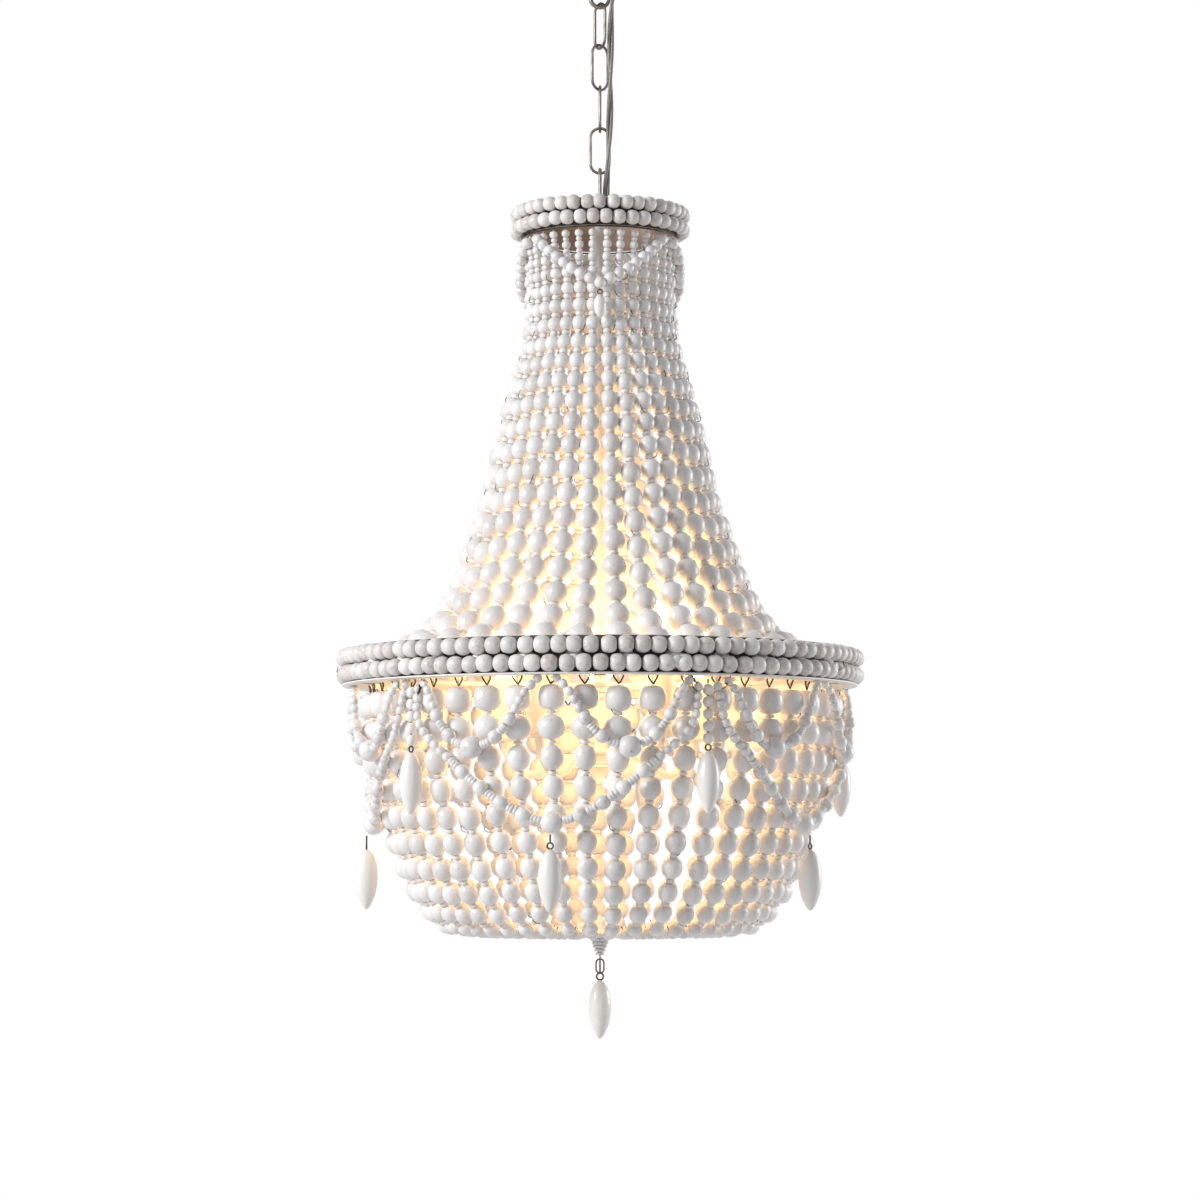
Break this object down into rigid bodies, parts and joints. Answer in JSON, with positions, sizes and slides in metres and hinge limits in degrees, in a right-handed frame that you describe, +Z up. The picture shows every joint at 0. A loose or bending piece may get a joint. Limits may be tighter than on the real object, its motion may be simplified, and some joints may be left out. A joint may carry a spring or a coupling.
{
  "type": "beaded basket chandelier",
  "caption": "Empire basket chandelier of whitewashed wooden bead strings between two hoops, with bead swags and spindle drops, hung by a short chain from a ceiling canopy.",
  "frame": {"origin": "middle of the ceiling bracket's top face, where the chandelier meets the ceiling", "axes": "+Z up along the stem, -Y towards the viewer of the picture, +X to that viewer's right"},
  "size_m": [0.4996, 0.4996, 1.0378],
  "materials": {
    "nickel": "polished nickel wire and turned metal",
    "white_paint": "satin off-white paint",
    "clear_cord": "clear twin-core cord over silvery wire",
    "ring_beads": "whitewashed wood, worn in places, satin",
    "strand_beads": "whitewashed wood, chalk white, satin",
    "swag_beads": "whitewashed wood, chalk white, satin",
    "drop_wood": "turned wood, ivory white, satin",
    "candle_sleeve": "ivory candle sleeve",
    "bulb_glass": "warm lit candle bulb"
  },
  "bodies": {
    "ceiling": {"ceiling_bracket": "nickel", "canopy": "white_paint", "canopy_screw_left": "nickel", "canopy_screw_right": "nickel", "canopy_loop": "nickel", "power_cord": "clear_cord"},
    "link_1": {"chain_link_1": "nickel"},
    "link_2": {"chain_link_2": "nickel"},
    "link_3": {"chain_link_3": "nickel"},
    "link_4": {"chain_link_4": "nickel"},
    "fixture": {"stem_loop": "nickel", "stem": "white_paint", "crown_ring": "white_paint", "crown_beads_top": "ring_beads", "crown_beads_bottom": "ring_beads", "body_ring": "white_paint", "body_beads_bottom": "ring_beads", "body_beads_top": "ring_beads", "lamp_hub": "white_paint", "lamp_arm_1": "white_paint", "candle_sleeve_1": "candle_sleeve", "bulb_1": "bulb_glass", "lamp_arm_2": "white_paint", "candle_sleeve_2": "candle_sleeve", "bulb_2": "bulb_glass", "lamp_arm_3": "white_paint", "candle_sleeve_3": "candle_sleeve", "bulb_3": "bulb_glass", "lamp_arm_4": "white_paint", "candle_sleeve_4": "candle_sleeve", "bulb_4": "bulb_glass", "lamp_arm_5": "white_paint", "candle_sleeve_5": "candle_sleeve", "bulb_5": "bulb_glass", "upper_strands_1": "strand_beads", "upper_strands_2": "strand_beads", "upper_strands_3": "strand_beads", "upper_strands_4": "strand_beads", "lower_strands_1": "strand_beads", "lower_strands_2": "strand_beads", "lower_strands_3": "strand_beads", "lower_strands_4": "strand_beads", "crown_garland": "swag_beads", "short_garland": "swag_beads", "long_garland": "swag_beads", "gather_cone": "white_paint"},
    "crest_drop_1": {"crest_drop_1": "drop_wood"},
    "crest_drop_2": {"crest_drop_2": "drop_wood"},
    "crest_drop_3": {"crest_drop_3": "drop_wood"},
    "crest_drop_4": {"crest_drop_4": "drop_wood"},
    "crest_drop_5": {"crest_drop_5": "drop_wood"},
    "low_pendant_1": {"low_pendant_1": "drop_wood"},
    "low_pendant_2": {"low_pendant_2": "drop_wood"},
    "low_pendant_3": {"low_pendant_3": "drop_wood"},
    "low_pendant_4": {"low_pendant_4": "drop_wood"},
    "low_pendant_5": {"low_pendant_5": "drop_wood"},
    "crown_drop_1": {"crown_drop_1": "drop_wood"},
    "crown_drop_2": {"crown_drop_2": "drop_wood"},
    "crown_drop_3": {"crown_drop_3": "drop_wood"},
    "finial_pendant": {"finial_pendant": "drop_wood"}
  },
  "joints": [
    {"name": "link_1_swing", "type": "hinge", "parent": "ceiling", "child": "link_1", "pos_m": [0, 0, -0.0526], "axis": [1, 0, 0], "range_deg": [-15, 15], "deforming": ["power_cord"]},
    {"name": "link_2_swing", "type": "hinge", "parent": "link_1", "child": "link_2", "pos_m": [0, 0, -0.0925], "axis": [0.5299, -0.848, 0], "range_deg": [-15, 15], "deforming": ["power_cord"]},
    {"name": "link_3_swing", "type": "hinge", "parent": "link_2", "child": "link_3", "pos_m": [0, 0, -0.133], "axis": [0.809, 0.5878, 0], "range_deg": [-15, 15], "deforming": ["power_cord"]},
    {"name": "link_4_swing", "type": "hinge", "parent": "link_3", "child": "link_4", "pos_m": [0, 0, -0.1735], "axis": [0, 1, 0], "range_deg": [-15, 15], "deforming": ["power_cord"]},
    {"name": "fixture_swing", "type": "hinge", "parent": "link_4", "child": "fixture", "pos_m": [0, 0, -0.214], "axis": [1, 0, 0], "range_deg": [-15, 15], "deforming": ["power_cord"]},
    {"name": "crest_drop_1_swing", "type": "hinge", "parent": "fixture", "child": "crest_drop_1", "pos_m": [-0.167, -0.15303, -0.7095], "axis": [-0.6756, 0.7373, 0], "range_deg": [0, 25]},
    {"name": "crest_drop_2_swing", "type": "hinge", "parent": "fixture", "child": "crest_drop_2", "pos_m": [0.09393, -0.20612, -0.7095], "axis": [-0.91, -0.4147, 0], "range_deg": [0, 25]},
    {"name": "crest_drop_3_swing", "type": "hinge", "parent": "fixture", "child": "crest_drop_3", "pos_m": [0.22506, 0.02564, -0.7095], "axis": [0.1132, -0.9936, 0], "range_deg": [0, 25]},
    {"name": "crest_drop_4_swing", "type": "hinge", "parent": "fixture", "child": "crest_drop_4", "pos_m": [0.04516, 0.22197, -0.7095], "axis": [0.9799, -0.1994, 0], "range_deg": [0, 25]},
    {"name": "crest_drop_5_swing", "type": "hinge", "parent": "fixture", "child": "crest_drop_5", "pos_m": [-0.19715, 0.11154, -0.7095], "axis": [0.4924, 0.8704, 0], "range_deg": [0, 25]},
    {"name": "low_pendant_1_swing", "type": "hinge", "parent": "fixture", "child": "low_pendant_1", "pos_m": [-0.04386, -0.21559, -0.84835], "axis": [-0.9799, 0.1994, 0], "range_deg": [-20, 25]},
    {"name": "low_pendant_2_swing", "type": "hinge", "parent": "fixture", "child": "low_pendant_2", "pos_m": [0.19149, -0.10834, -0.84835], "axis": [-0.4924, -0.8704, 0], "range_deg": [-20, 25]},
    {"name": "low_pendant_3_swing", "type": "hinge", "parent": "fixture", "child": "low_pendant_3", "pos_m": [0.16221, 0.14864, -0.84835], "axis": [0.6756, -0.7373, 0], "range_deg": [-20, 25]},
    {"name": "low_pendant_4_swing", "type": "hinge", "parent": "fixture", "child": "low_pendant_4", "pos_m": [-0.09124, 0.2002, -0.84835], "axis": [0.91, 0.4147, 0], "range_deg": [-20, 25]},
    {"name": "low_pendant_5_swing", "type": "hinge", "parent": "fixture", "child": "low_pendant_5", "pos_m": [-0.2186, -0.02491, -0.84835], "axis": [-0.1132, 0.9936, 0], "range_deg": [-20, 25]},
    {"name": "crown_drop_1_swing", "type": "hinge", "parent": "fixture", "child": "crown_drop_1", "pos_m": [0.0703, 0.04059, -0.34085], "axis": [0.5, -0.866, 0], "range_deg": [0, 25]},
    {"name": "crown_drop_2_swing", "type": "hinge", "parent": "fixture", "child": "crown_drop_2", "pos_m": [-0.0703, 0.04059, -0.34085], "axis": [0.5, 0.866, 0], "range_deg": [0, 25]},
    {"name": "crown_drop_3_swing", "type": "hinge", "parent": "fixture", "child": "crown_drop_3", "pos_m": [0, -0.08117, -0.34085], "axis": [-1, 0, 0], "range_deg": [0, 25]},
    {"name": "finial_swing", "type": "hinge", "parent": "fixture", "child": "finial_pendant", "pos_m": [0, 0, -0.96505], "axis": [0, 1, 0], "range_deg": [-25, 25]}
  ]
}
